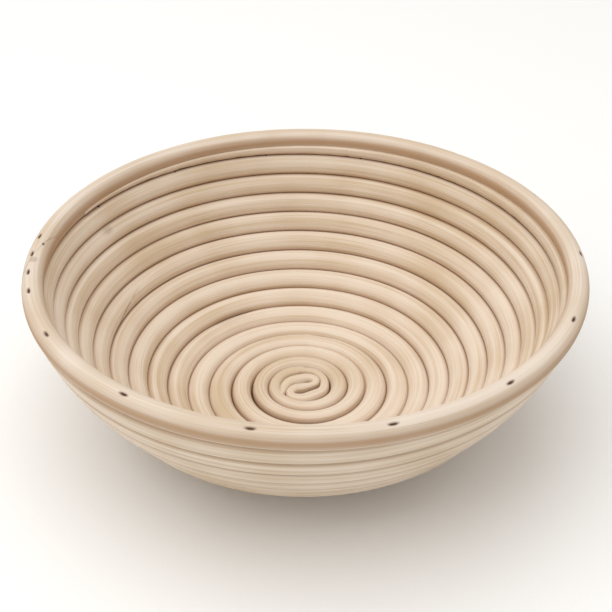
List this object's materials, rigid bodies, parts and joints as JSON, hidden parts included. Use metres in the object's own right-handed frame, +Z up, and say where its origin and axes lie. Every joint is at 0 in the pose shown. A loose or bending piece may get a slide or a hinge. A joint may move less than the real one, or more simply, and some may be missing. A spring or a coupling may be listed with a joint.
{
  "type": "banneton basket",
  "caption": "Round proofing basket wound in a spiral from rattan pith cane, with a folded centre, a nailed coil and a level rim ring.",
  "frame": {"origin": "on the resting plane, under the centre of the rim ring", "axes": "+Z up, out of the bowl's mouth; +X towards the side opposite the rim's scarf joint"},
  "size_m": [0.25, 0.25, 0.083],
  "materials": {
    "pith_cane": "peeled rattan pith, sanded, unvarnished, matt",
    "rim_cane": "peeled rattan pith, sanded, unvarnished, matt",
    "brad_steel": "drawn steel wire, dulled"
  },
  "bodies": {
    "root": {"base_coil_cane": "pith_cane", "wall_coil_cane": "pith_cane", "rim_ring_cane": "rim_cane", "fold_brad": "brad_steel", "base_coil_brads": "brad_steel", "splice_brads": "brad_steel", "wall_coil_brads": "brad_steel", "rim_ring_brads": "brad_steel", "rim_scarf_brads": "brad_steel"}
  },
  "joints": []
}
